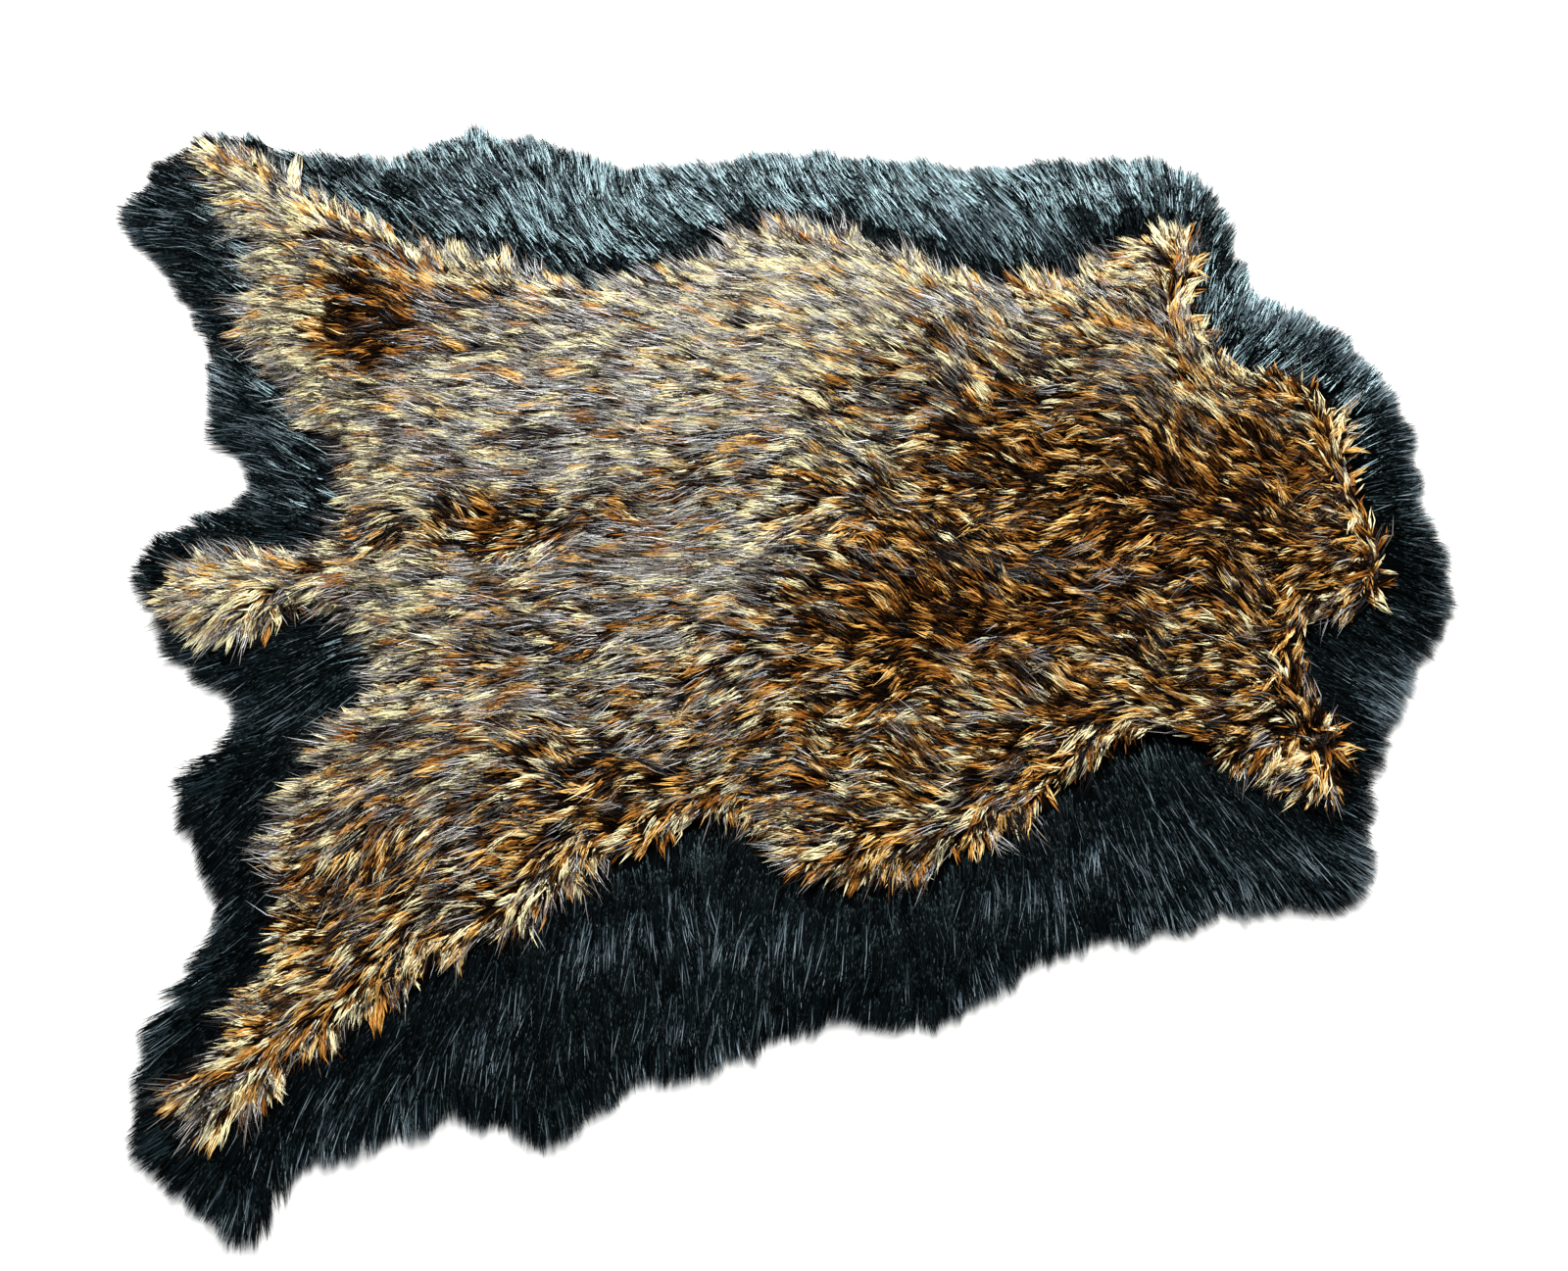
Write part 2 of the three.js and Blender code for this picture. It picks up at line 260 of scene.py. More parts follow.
def knit_finish(name, dark, light):
    """Knitted backing cloth: fine ribs with a dot for each stitch, dull, in two near colours."""
    cloth = bpy.data.materials.new(name)
    cloth.use_nodes = True
    nodes, links = cloth.node_tree.nodes, cloth.node_tree.links
    shader = nodes["Principled BSDF"]
    place = nodes.new("ShaderNodeTexCoord")
    ribs = nodes.new("ShaderNodeTexWave")
    ribs.inputs["Scale"].default_value = 160.0
    ribs.inputs["Distortion"].default_value = 0.6
    stitches = nodes.new("ShaderNodeTexVoronoi")
    stitches.inputs["Scale"].default_value = 420.0
    patches = nodes.new("ShaderNodeTexNoise")
    patches.inputs["Scale"].default_value = 9.0
    patches.inputs["Detail"].default_value = 5.0
    knit = nodes.new("ShaderNodeMath")
    knit.operation = "MULTIPLY"
    shade = nodes.new("ShaderNodeMath")
    shade.operation = "MULTIPLY_ADD"
    shade.inputs[1].default_value = 0.55
    colour = nodes.new("ShaderNodeMix")
    colour.data_type = "RGBA"
    colour.inputs["A"].default_value = dark
    colour.inputs["B"].default_value = light
    relief = nodes.new("ShaderNodeBump")
    relief.inputs["Strength"].default_value = 0.6
    relief.inputs["Distance"].default_value = 0.0006
    for pattern in (ribs, stitches, patches):
        links.new(place.outputs["Object"], pattern.inputs["Vector"])
    links.new(ribs.outputs["Fac"], knit.inputs[0])
    links.new(stitches.outputs["Distance"], knit.inputs[1])
    links.new(knit.outputs["Value"], shade.inputs[0])
    links.new(patches.outputs["Fac"], shade.inputs[2])
    links.new(shade.outputs["Value"], colour.inputs["Factor"])
    links.new(colour.outputs["Result"], shader.inputs["Base Color"])
    links.new(knit.outputs["Value"], relief.inputs["Height"])
    links.new(relief.outputs["Normal"], shader.inputs["Normal"])
    shader.inputs["Roughness"].default_value = 0.85
    return cloth


outline_step = 0.006
lock_reach = 0.018
backing_thickness = 0.0014
shag_tips = evenly_spaced(footprint("base"), outline_step)
shag_line = softened(shag_tips, spread=5)
shag_cut = inset(shag_line, lock_reach)
black_knit = knit_finish(
    "black_knit", dark=(0.012, 0.013, 0.015, 1.0), light=(0.035, 0.037, 0.042, 1.0)
)
shag_backing = cut_cloth("shag_backing", shag_cut, 0.0, backing_thickness, black_knit)
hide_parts("base")

# The black pile is acrylic hair about as long as a finger, tufted through the knit. It lies
# away from the middle of the back on all sides, hides the cut edge of its backing, and is
# pressed flat under the pelt, so only the hair that comes out from under the pelt is made.
pelt_tips = evenly_spaced(footprint("pelt"), outline_step)
pelt_line = softened(pelt_tips, spread=4)
pelt_depth = depth_chart(pelt_line)
shag_depth = depth_chart(shag_line)


def top_chart(node_name):
    """Height of the top of a CAD node at each point of the chart, 0 beside it."""
    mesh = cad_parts[node_name].data
    corners = [v.co for v in mesh.vertices]
    surface = BVHTree.FromPolygons(corners, [tuple(face.vertices) for face in mesh.polygons])
    heights = []
    for x, y in chart_points:
        hit = surface.ray_cast(Vector((x, y, 1.0)), Vector((0.0, 0.0, -1.0)))[0]
        heights.append(hit.z if hit else 0.0)
    return np.array(heights).reshape(chart_shape)


def blurred(chart, spread):
    """A chart averaged over a distance."""
    reach = int(3 * spread / chart_step)
    weights = np.exp(-0.5 * (np.arange(-reach, reach + 1) * chart_step / spread) ** 2)
    weights /= weights.sum()
    for axis in (0, 1):
        margin = [(reach, reach) if k == axis else (0, 0) for k in (0, 1)]
        padded = np.pad(chart, margin, mode="edge")
        chart = np.apply_along_axis(np.convolve, axis, padded, weights, mode="valid")
    return chart


def unit(vectors):
    """Vectors at length 1, or 0 where they have no length."""
    return vectors / np.maximum(np.linalg.norm(vectors, axis=-1, keepdims=True), 1e-9)


def way_out(depth, spread):
    """Directions out of a loop over the chart, turned evenly where the loop bends."""
    slope_x, slope_y = np.gradient(blurred(depth, spread))
    return -unit(np.stack([slope_x, slope_y], -1))


def turned(vectors, angles):
    """Plan directions turned anticlockwise."""
    c, s = np.cos(angles), np.sin(angles)
    x, y = vectors.T
    return np.column_stack([x * c - y * s, x * s + y * c])


def patchiness(points, pitch, seed):
    """Soft random patches between -1 and 1, about a pitch wide."""
    patches = 90
    off_rug = 1.5
    values = np.random.default_rng(seed).uniform(-1.0, 1.0, (patches, patches))
    place = (points + off_rug) / pitch
    cell = np.floor(place).astype(int)
    fx, fy = ((place - cell) ** 2 * (3 - 2 * (place - cell))).T
    i, j = cell.T % patches
    i_next, j_next = (i + 1) % patches, (j + 1) % patches
    near = values[i, j] * (1 - fx) + values[i_next, j] * fx
    far = values[i, j_next] * (1 - fx) + values[i_next, j_next] * fx
    return near * (1 - fy) + far * fy


def spread_out(loop, spacing, seed):
    """Points in uneven rows over the inside of a loop."""
    low, high = loop.min(axis=0), loop.max(axis=0)
    columns, rows = np.ceil((high - low) / spacing).astype(int)
    grid = np.stack(np.indices((columns, rows)), -1).reshape(-1, 2)
    points = low + (grid + np.random.default_rng(seed).uniform(0.0, 1.0, grid.shape)) * spacing
    return points[inside(points, loop)]


def run_to_edge(points, headings, depth, longest):
    """How far each point can go along its heading before it leaves a loop."""
    tries = 28
    runs = np.linspace(0.0, longest, tries)
    outside = np.stack([sampled(depth, points + headings * run) < 0 for run in runs], 1)
    first = np.where(outside.any(axis=1), outside.argmax(axis=1), tries - 1)
    return runs[first]


def hair_piece(name, roots, bends, tips, bend_place, width, roll, column, uneven):
    """Flat pointed hairs from roots over bends to tips, joined into one mesh.

    The map of each hair runs from its root at the bottom to its tip at the top, in the column
    of its own kind of hair, so that hairs of a kind share their colours; uneven shifts the
    place of the bend on the map, so that the colours set in unevenly."""
    root_width = 0.7
    column_width = 0.008
    map_margin = 0.005
    points_each, faces_each, corners_each = 5, 2, 7
    count = len(roots)
    heading = unit((tips - roots)[:, :2])
    side = np.column_stack([-heading[:, 1], heading[:, 0], np.zeros(count)])
    side *= np.cos(roll)[:, None]
    side[:, 2] = np.sin(roll)
    side *= 0.5 * width[:, None]
    points = np.stack(
        [
            roots + side * root_width,
            roots - side * root_width,
            bends + side,
            bends - side,
            tips,
        ],
        1,
    )
    corners = np.array([0, 1, 3, 2, 2, 3, 4])
    corner_sides = np.array([-0.5, 0.5, 0.5, -0.5, -0.5, 0.5, 0.0])
    corner_places = np.array([0.0, 0.0, bend_place, bend_place, bend_place, bend_place, 1.0])
    mesh = bpy.data.meshes.new(name)
    mesh.vertices.add(points_each * count)
    mesh.vertices.foreach_set("co", points.astype(np.float32).ravel())
    mesh.loops.add(corners_each * count)
    hair_corners = corners[None] + points_each * np.arange(count)[:, None]
    mesh.loops.foreach_set("vertex_index", hair_corners.astype(np.int32).ravel())
    mesh.polygons.add(faces_each * count)
    starts = np.array([0, 4])[None] + corners_each * np.arange(count)[:, None]
    mesh.polygons.foreach_set("loop_start", starts.astype(np.int32).ravel())
    mesh.update(calc_edges=True)
    mesh.polygons.foreach_set("use_smooth", np.zeros(faces_each * count, bool))
    hair_map = mesh.uv_layers.new(name="OFBake")
    u = np.clip(column, column_width, 1 - column_width)[:, None] + corner_sides * column_width
    at_bend = corner_places == bend_place
    v = corner_places[None] + at_bend[None] * uneven[:, None]
    v = map_margin + (1 - 2 * map_margin) * v
    hair_map.data.foreach_set("uv", np.stack([u, v], 2).astype(np.float32).ravel())
    piece = bpy.data.objects.new(name, mesh)
    bpy.context.scene.collection.objects.link(piece)
    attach(piece, "root")
    return piece


def colour_ramp(tree, stops):
    """A ramp node with a colour for each place from 0 to 1."""
    ramp = tree.nodes.new("ShaderNodeValToRGB")
    elements = ramp.color_ramp.elements
    elements[0].position, elements[0].color = stops[0][0], (*stops[0][1], 1.0)
    elements[1].position, elements[1].color = stops[-1][0], (*stops[-1][1], 1.0)
    for place, colour in stops[1:-1]:
        elements.new(place).color = (*colour, 1.0)
    return ramp


def hair_finish(name, root_colour, bodies, ends, body_from, end_from, roughness, gloss, tint):
    """Acrylic hair, dark and dull at its root.

    bodies and ends are the colours of its middle and of its tip by the column of its map, and
    body_from and end_from are where along it they set in. roughness is that of the dark hairs
    and that of the pale ones."""
    finish = bpy.data.materials.new(name)
    finish.use_nodes = True
    tree = finish.node_tree
    shader = tree.nodes["Principled BSDF"]
    hair_map = tree.nodes.new("ShaderNodeUVMap")
    hair_map.uv_map = "OFBake"
    axes = tree.nodes.new("ShaderNodeSeparateXYZ")
    tree.links.new(hair_map.outputs["UV"], axes.inputs["Vector"])
    below = None
    for stops, (low, high) in ((bodies, body_from), (ends, end_from)):
        ramp = colour_ramp(tree, stops)
        share = tree.nodes.new("ShaderNodeMapRange")
        share.interpolation_type = "SMOOTHSTEP"
        share.inputs["From Min"].default_value = low
        share.inputs["From Max"].default_value = high
        mixed = tree.nodes.new("ShaderNodeMix")
        mixed.data_type = "RGBA"
        mixed.inputs["A"].default_value = (*root_colour, 1.0)
        tree.links.new(axes.outputs["X"], ramp.inputs["Fac"])
        tree.links.new(axes.outputs["Y"], share.inputs["Value"])
        tree.links.new(share.outputs["Result"], mixed.inputs["Factor"])
        tree.links.new(ramp.outputs["Color"], mixed.inputs["B"])
        if below:
            tree.links.new(below.outputs["Result"], mixed.inputs["A"])
        below = mixed
    tree.links.new(below.outputs["Result"], shader.inputs["Base Color"])
    dullness = tree.nodes.new("ShaderNodeMapRange")
    dullness.inputs["From Min"].default_value = 0.1
    dullness.inputs["From Max"].default_value = 0.6
    dullness.inputs["To Min"].default_value = roughness[0]
    dullness.inputs["To Max"].default_value = roughness[1]
    tree.links.new(axes.outputs["X"], dullness.inputs["Value"])
    root_dullness = tree.nodes.new("ShaderNodeMapRange")
    root_dullness.inputs["From Min"].default_value = body_from[0]
    root_dullness.inputs["From Max"].default_value = body_from[1]
    root_dullness.inputs["To Min"].default_value = 1.0
    root_dullness.inputs["To Max"].default_value = roughness[1]
    tree.links.new(axes.outputs["Y"], root_dullness.inputs["Value"])
    duller = tree.nodes.new("ShaderNodeMath")
    duller.operation = "MAXIMUM"
    tree.links.new(dullness.outputs["Result"], duller.inputs[0])
    tree.links.new(root_dullness.outputs["Result"], duller.inputs[1])
    tree.links.new(duller.outputs["Value"], shader.inputs["Roughness"])
    shader.inputs["Specular IOR Level"].default_value = gloss
    shader.inputs["Specular Tint"].default_value = (*tint, 1.0)
    return finish


def lay_hairs(name, cloth, kind, middles, sizes, headings, lengths, columns, seed):
    """Hairs in clumps: a number of roots round each middle, drawn together towards the tips,
    which follow the top of the CAD pile and stop where its locks end.

    cloth says how the pile stands: bottom, root and top are heights, tip_depth is a chart of the
    depth inside its edge, spill is how far past that edge its tips may reach, turned is the roll
    of hairs that lie along the rug, and uneven is how much their colours shift along them."""
    shortest = 0.012
    shortest_at_edge = 0.010
    longest = 0.09
    steepest = 0.9
    tip_rise = 0.25
    curliness = 0.05
    thinnest, thickest = 0.65, 1.35
    roll_within_clump = 0.15
    rng = np.random.default_rng(seed)
    hairs = np.rint(kind["hairs"] * sizes ** 2).astype(int)
    clump = np.repeat(np.arange(len(middles)), hairs)
    count = len(clump)
    heading = headings[clump]
    sideways = np.column_stack([-heading[:, 1], heading[:, 0]])
    spread = kind["spread"] * sizes[clump]
    across = rng.uniform(-1.0, 1.0, count) * spread
    along = rng.uniform(-1.0, 1.0, count) * spread
    roots = middles[clump] + sideways * across[:, None] + heading * along[:, None]
    side_at_tip = across * (1 - kind["gather"]) + rng.normal(0.0, kind["stray"], count)
    reach = lengths[clump] + rng.normal(0.0, kind["ragged"], count) - along * kind["gather"]
    reach = np.maximum(reach, shortest)
    step = heading * reach[:, None] + sideways * (side_at_tip - across)[:, None]
    reach = np.linalg.norm(step, axis=1)
    direction = unit(step)
    room = run_to_edge(roots, direction, cloth["tip_depth"], longest)
    room += rng.normal(cloth["spill"][0], cloth["spill"][1], count)
    room += rng.normal(0.0, kind["fringe"], len(middles))[clump]
    reach = np.maximum(np.minimum(reach, room), shortest_at_edge)
    curl = reach * rng.normal(0.0, curliness, count)
    tips = roots + direction * reach[:, None]
    bends = roots + (tips - roots) * kind["bend"] + sideways * curl[:, None]
    layer = rng.uniform(*kind["layers"], count)
    bottom = cloth["bottom"]
    start = sampled(cloth["root"], roots)
    nap_at_bend = np.maximum(sampled(cloth["top"], bends), bottom + kind["rim"])
    nap_at_tip = np.maximum(sampled(cloth["top"], tips), bottom + kind["rim"])
    bend_height = bottom + (nap_at_bend - bottom) * layer * kind["shoulder"]
    bend_height = np.minimum(bend_height, start + steepest * reach * kind["bend"])
    tip_height = bottom + (nap_at_tip - bottom) * layer
    tip_height = np.minimum(tip_height, bend_height + tip_rise * reach * (1 - kind["bend"]))
    roll = rng.normal(0.0, kind["roll"], len(middles))[clump]
    roll += cloth["turned"] * np.clip(np.abs(heading[:, 0]) - 0.4, 0, 0.6) / 0.6
    piece = hair_piece(
        name,
        np.column_stack([roots, start]),
        np.column_stack([bends, bend_height]),
        np.column_stack([tips, tip_height]),
        kind["bend"],
        kind["width"] * rng.uniform(thinnest, thickest, count),
        roll + rng.normal(0.0, roll_within_clump, count),
        columns[clump] + rng.normal(0.0, kind["mix"], count),
        cloth["uneven"] * np.clip(rng.normal(0.0, 1.0, count), -2.0, 2.0),
    )
    for finish in cloth["finishes"]:
        piece.data.materials.append(finish)
    root_and_tip = np.array([0, len(cloth["finishes"]) - 1], np.int32)
    piece.data.polygons.foreach_set("material_index", np.tile(root_and_tip, count))
    return piece


# Black dyed hair by its gloss: its dull roots, the under pile and the glossy top pile
black_glosses = {"black_roots": 0.05, "black_pile_under": 0.20, "black_pile_top": 0.58}
black_dye = (0.0006, 0.0009, 0.0011)
black_finishes = {}
# The pale teal colours towards column 1 are painted sheen, strands that stand in for highlights.
for name, gloss in black_glosses.items():
    black_finishes[name] = hair_finish(
        name,
        root_colour=black_dye,
        bodies=[
            (0.0, black_dye),
            (0.5, (0.0008, 0.0013, 0.0017)),
            (0.75, (0.004, 0.008, 0.010)),
            (1.0, (0.060, 0.098, 0.120)),
        ],
        ends=[
            (0.0, black_dye),
            (0.5, (0.0009, 0.0017, 0.0025)),
            (0.75, (0.008, 0.016, 0.022)),
            (1.0, (0.340, 0.430, 0.490)),
        ],
        body_from=(0.32, 0.44),
        end_from=(0.44, 0.80),
        roughness=(0.24, 0.15),
        gloss=gloss,
        tint=(0.58, 0.90, 1.0),
    )

# How high the black pile stands: low where the pelt presses it and on the near side, which is
# combed flat, and higher away from the pelt on the far side
highest_nap = 0.0175
pelt_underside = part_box("pelt")[0].z
chart_x, chart_y = (chart_points[:, k].reshape(chart_shape) for k in (0, 1))
nap_rise = np.interp(chart_y, (-0.20, 0.20), (0.00, 0.17))
beside_pelt = pelt_underside + 0.001 + nap_rise * np.maximum(-pelt_depth, 0)
pressed = np.minimum(highest_nap, beside_pelt)
waves = 0.0020 * patchiness(chart_points, pitch=0.060, seed=105).reshape(chart_shape)
waves *= np.clip(shag_depth / 0.03, 0, 1)
under_pelt = np.clip((pelt_depth + 0.045) / 0.030, 0, 1)
highest_root = pelt_underside - 0.002
lock_depth = depth_chart(shag_tips)
scalloped_edge = 0.8 * lock_depth + 0.2 * shag_depth + 0.002
even_edge = blurred(shag_depth, 0.020) + 0.003
shag = {
    "slot": "black_fur",
    "turned": -0.30,
    "uneven": 0.02,
    "bottom": backing_thickness,
    "root": backing_thickness + (highest_root - backing_thickness) * under_pelt,
    "top": np.minimum(top_chart("base"), pressed) + waves,
    "tip_depth": np.maximum(scalloped_edge, even_edge),
    "spill": (0.004, 0.002),
}

# Which way it lies: out from the spine and a little to the tail, more so on the far side, and
# turned straight out at the rim
far_side = np.clip(chart_y / 0.30, 0, 1)
tailward = np.array([-0.16, 0.0])
spine = np.column_stack([np.clip(chart_points[:, 0], -0.30, 0.30), np.zeros(len(chart_points))])
from_spine = unit(unit(chart_points - spine) + tailward).reshape(*chart_shape, 2)
shag_rim = 0.6 * np.clip(1 - shag_depth / 0.07, 0, 1)[..., None]
shag_flow = from_spine * (1 - shag_rim) + way_out(shag_depth, spread=0.020) * shag_rim
shag_flow[..., 0] -= 0.30 * far_side

# A kind of hair: the spacing of its clumps and the hairs in one, how far their roots spread and
# draw together, how uneven they are sideways (stray) and in length (ragged, and fringe at the
# edge), where they lie between backing and top (layers), where along them and how high they
# bend, how high the pile is at its rim, and their width, roll and mix of colours
black_kinds = {
    "black_pile_under": {
        "spacing": 0.0098, "hairs": 8, "spread": 0.0062, "gather": 0.25, "stray": 0.0030,
        "ragged": 0.007, "fringe": 0.002, "layers": (0.35, 0.95), "bend": 0.32, "shoulder": 0.92,
        "rim": 0.002, "width": 0.0021, "roll": 0.25, "mix": 0.10,
    },
    "black_pile_top": {
        "spacing": 0.0098, "hairs": 11, "spread": 0.0062, "gather": 0.45, "stray": 0.0022,
        "ragged": 0.006, "fringe": 0.003, "layers": (0.75, 1.12), "bend": 0.36, "shoulder": 0.96,
        "rim": 0.008, "width": 0.0011, "roll": 0.35, "mix": 0.28,
    },
}
shag_length = 0.054
deepest_root = 0.022

# Its colours, from black hair to pale teal strands: blacker near the pelt, which is painted
# shade from the pelt, and greyer on the far side and at the neck, which is painted sheen
for seed, (name, kind) in enumerate(black_kinds.items(), start=11):
    middles = spread_out(shag_cut, kind["spacing"], seed)
    middles = middles[sampled(pelt_depth, middles) < deepest_root]
    headings = unit(np.column_stack([sampled(shag_flow[..., k], middles) for k in (0, 1)]))
    swirl = 0.30 * patchiness(middles, pitch=0.080, seed=101)
    swirl += 0.16 * patchiness(middles, pitch=0.022, seed=102)
    rng = np.random.default_rng(seed + 50)
    headings = turned(headings, swirl + rng.normal(0.0, 0.08, len(middles)))
    lengths = shag_length + 0.006 * patchiness(middles, pitch=0.030, seed=103)
    lengths += rng.normal(0.0, 0.003, len(middles))
    # Painted shade: the column drops within 30 mm of the pelt, where the pelt shades the black.
    painted_shade_and_dark_patch = np.clip(1 + sampled(pelt_depth, middles) / 0.030, 0, 1)
    far_side_painted_sheen = np.clip(middles[:, 1] / 0.30, 0, 1)
    neck_painted_sheen = np.clip((middles[:, 0] - 0.48) / 0.12, 0, 1)
    # Painted sheen: the patches, the far side and the neck get more pale teal strands.
    columns = 0.42 + 0.22 * patchiness(middles, pitch=0.045, seed=104) - 0.25 * painted_shade_and_dark_patch
    columns += 0.12 * far_side_painted_sheen
    columns += 0.24 * neck_painted_sheen
    columns += rng.normal(0.0, 0.10, len(middles))
    sizes = np.ones(len(middles))
    cloth = dict(shag, finishes=[black_finishes["black_roots"], black_finishes[name]])
    lay_hairs(name, cloth, kind, middles, sizes, headings, lengths, columns, seed + 70)

# The brindled pelt is a second fur on its own knitted backing, laid on the pressed black
# pile and sewn down along its cut edge.
pelt_cut = inset(pelt_line, lock_reach)
brown_knit = knit_finish(
    "brown_knit", dark=(0.020, 0.013, 0.009, 1.0), light=(0.06, 0.042, 0.028, 1.0)
)
pelt_backing = cut_cloth("pelt_backing", pelt_cut, pelt_underside, backing_thickness, brown_knit)
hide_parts("pelt")

# The pelt's pile lies towards the tail and turns out over its edges. Its hair is banded: dark
# at the root, orange brown along its middle and cream at the tip, in tufts with a dark or a
# grey ground between them. The front half is darker, more golden, shorter and more tousled.

# Charts of how golden, dark and cream it is: golden and dark from a line slanting over the back
# to the neck, and golden along the near side
gold_from = -0.02 + 0.17 * np.clip(chart_y / 0.15, -1, 1)
gold = np.clip((chart_x - gold_from + 0.06) / 0.36, 0, 1)
dark = 0.40 * gold
near_side = np.clip((-chart_y - 0.10) / 0.15, 0, 1)
gold = gold + 0.45 * near_side
cream = np.zeros(chart_shape)

# Patches of the pelt by their middle and half size in metres, and what is more common in them
patch_columns = ("x", "y", "half_x", "half_y", "dark", "gold", "cream")
patch_rows = [
    (-0.430, 0.350, 0.068, 0.066, 2.20, 0.80, -0.60),
    (-0.450, 0.470, 0.080, 0.060, 0.30, 0.70, 0.00),
    (-0.570, 0.400, 0.050, 0.220, -0.30, -0.20, 0.90),
    (-0.345, 0.420, 0.022, 0.070, 0.30, -0.20, 0.50),
    (-0.290, 0.075, 0.200, 0.038, 0.45, 0.90, 0.00),
    (-0.530, 0.020, 0.045, 0.045, 0.40, 0.60, 0.00),
    (-0.640, 0.045, 0.090, 0.050, -0.50, 0.10, 1.40),
    (0.450, 0.010, 0.260, 0.130, 0.40, 0.30, -0.20),
    (0.270, 0.130, 0.110, 0.080, 0.45, 0.10, -0.10),
    (0.300, 0.390, 0.330, 0.045, -0.45, -0.45, 0.50),
    (0.120, 0.200, 0.070, 0.050, 0.60, 0.50, -0.10),
    (-0.040, 0.120, 0.060, 0.030, 0.50, 0.50, -0.10),
    (0.020, 0.280, 0.180, 0.110, -0.20, -0.30, 0.45),
    (0.450, 0.280, 0.110, 0.070, -0.20, -0.30, 0.25),
    (0.080, -0.310, 0.220, 0.060, -0.05, 1.00, 0.15),
    (-0.200, -0.245, 0.080, 0.060, 0.50, 0.90, -0.10),
    (-0.260, -0.070, 0.120, 0.140, 0.30, 0.35, -0.20),
    (0.520, 0.200, 0.070, 0.060, -0.35, -0.30, 0.35),
    (-0.350, -0.290, 0.130, 0.055, 0.25, 0.80, 0.00),
    (-0.480, -0.350, 0.150, 0.070, 0.30, 0.80, 0.00),
    (0.150, -0.080, 0.170, 0.090, 0.45, 0.50, -0.10),
    (-0.300, 0.330, 0.160, 0.090, 0.20, 0.00, -0.20),
    (-0.560, -0.460, 0.130, 0.050, 0.10, 0.35, 0.15),
    (0.680, 0.000, 0.035, 0.110, -0.30, -0.10, 0.40),
    (0.540, -0.280, 0.060, 0.050, -0.10, 0.30, 0.10),
    (0.130, 0.065, 0.130, 0.060, 0.10, 0.60, 0.10),
]
for row in patch_rows:
    patch = dict(zip(patch_columns, row))
    off_x = (chart_x - patch["x"]) / patch["half_x"]
    off_y = (chart_y - patch["y"]) / patch["half_y"]
    nearness = np.exp(-(off_x ** 2 + off_y ** 2) ** 2)
    dark = dark + patch["dark"] * nearness
    gold = gold + patch["gold"] * nearness
    cream = cream + patch["cream"] * nearness
gold = np.clip(gold, 0, 1)
pelt_fringe = np.exp(-(np.maximum(pelt_depth, 0) / 0.030) ** 2)
cream = cream + (0.45 - 0.30 * near_side) * pelt_fringe
dark = dark - 0.20 * pelt_fringe

# Which way it lies: to the tail and a little away from the back, over the front to the far
# side, and straight out at the rim, which is uneven so that the tufts turn out unevenly
to_front = np.clip(chart_x / 0.30, 0, 1)
front = to_front ** 2 * (3 - 2 * to_front)
pelt_lean = 0.28 * chart_y / 0.30 + 0.35 * front
pelt_back = unit(np.stack([-np.ones(chart_shape), pelt_lean], -1))
rim_waves = 0.013 * patchiness(chart_points, pitch=0.070, seed=303).reshape(chart_shape)
rim_depth = pelt_depth + rim_waves
pelt_rim = 0.85 * np.clip(1 - rim_depth / 0.055, 0, 1)[..., None] ** 0.8
pelt_flow = pelt_back * (1 - pelt_rim) + way_out(pelt_depth, spread=0.018) * pelt_rim
pelt_flow = np.stack([blurred(pelt_flow[..., k], 0.014) for k in (0, 1)], -1)


def pelt_headings(points, seed, stray):
    """Directions of the pelt's hair at points: wavy over the hind half, whorled over the front,
    and tousled where the hair parts."""
    rng = np.random.default_rng(seed)
    flow = np.column_stack([sampled(pelt_flow[..., k], points) for k in (0, 1)])
    parting = np.clip(1 - np.linalg.norm(flow, axis=1) / 0.8, 0, 1)
    wild = 0.20 + 0.60 * sampled(gold, points)
    swirl = patchiness(points, pitch=0.055, seed=301)
    swirl += 0.7 * patchiness(points, pitch=0.024, seed=302)
    tousle = rng.normal(0.0, 1.0, len(points)) * (stray + 1.2 * parting)
    return turned(unit(flow), wild * swirl + tousle)


# The kinds of hair by the column of the map, and how common each is: over the pale hind half,
# and what is added to that where the fur is golden, dark or cream
hair_columns = {"dark": 0.10, "orange": 0.30, "golden": 0.50, "cream": 0.72, "grey": 0.92}
hair_shares = {
    "dark": (0.23, 0.21, 0.60, -0.15),
    "orange": (0.11, 0.16, 0.10, -0.05),
    "golden": (0.16, 0.15, -0.10, 0.10),
    "cream": (0.48, -0.20, -0.30, 0.50),
    "grey": (0.10, -0.10, -0.08, -0.08),
}


def mixed_columns(points, seed, dark_more, grey_more):
    """A column for each point, drawn by how common the kinds of hair are there."""
    least_chance = 0.01
    fields = [np.ones(len(points))] + [sampled(field, points) for field in (gold, dark, cream)]
    chances = []
    for kind, shares in hair_shares.items():
        chance = sum(share * field for share, field in zip(shares, fields))
        chance += {"dark": dark_more, "grey": grey_more}.get(kind, 0.0)
        chances.append(np.maximum(chance, least_chance))
    sums = np.cumsum(chances, axis=0)
    draw = np.random.default_rng(seed).uniform(0.0, 1.0, len(points)) * sums[-1]
    picked = np.clip((draw[None] > sums).sum(axis=0), 0, len(hair_columns) - 1)
    return np.array(list(hair_columns.values()))[picked]


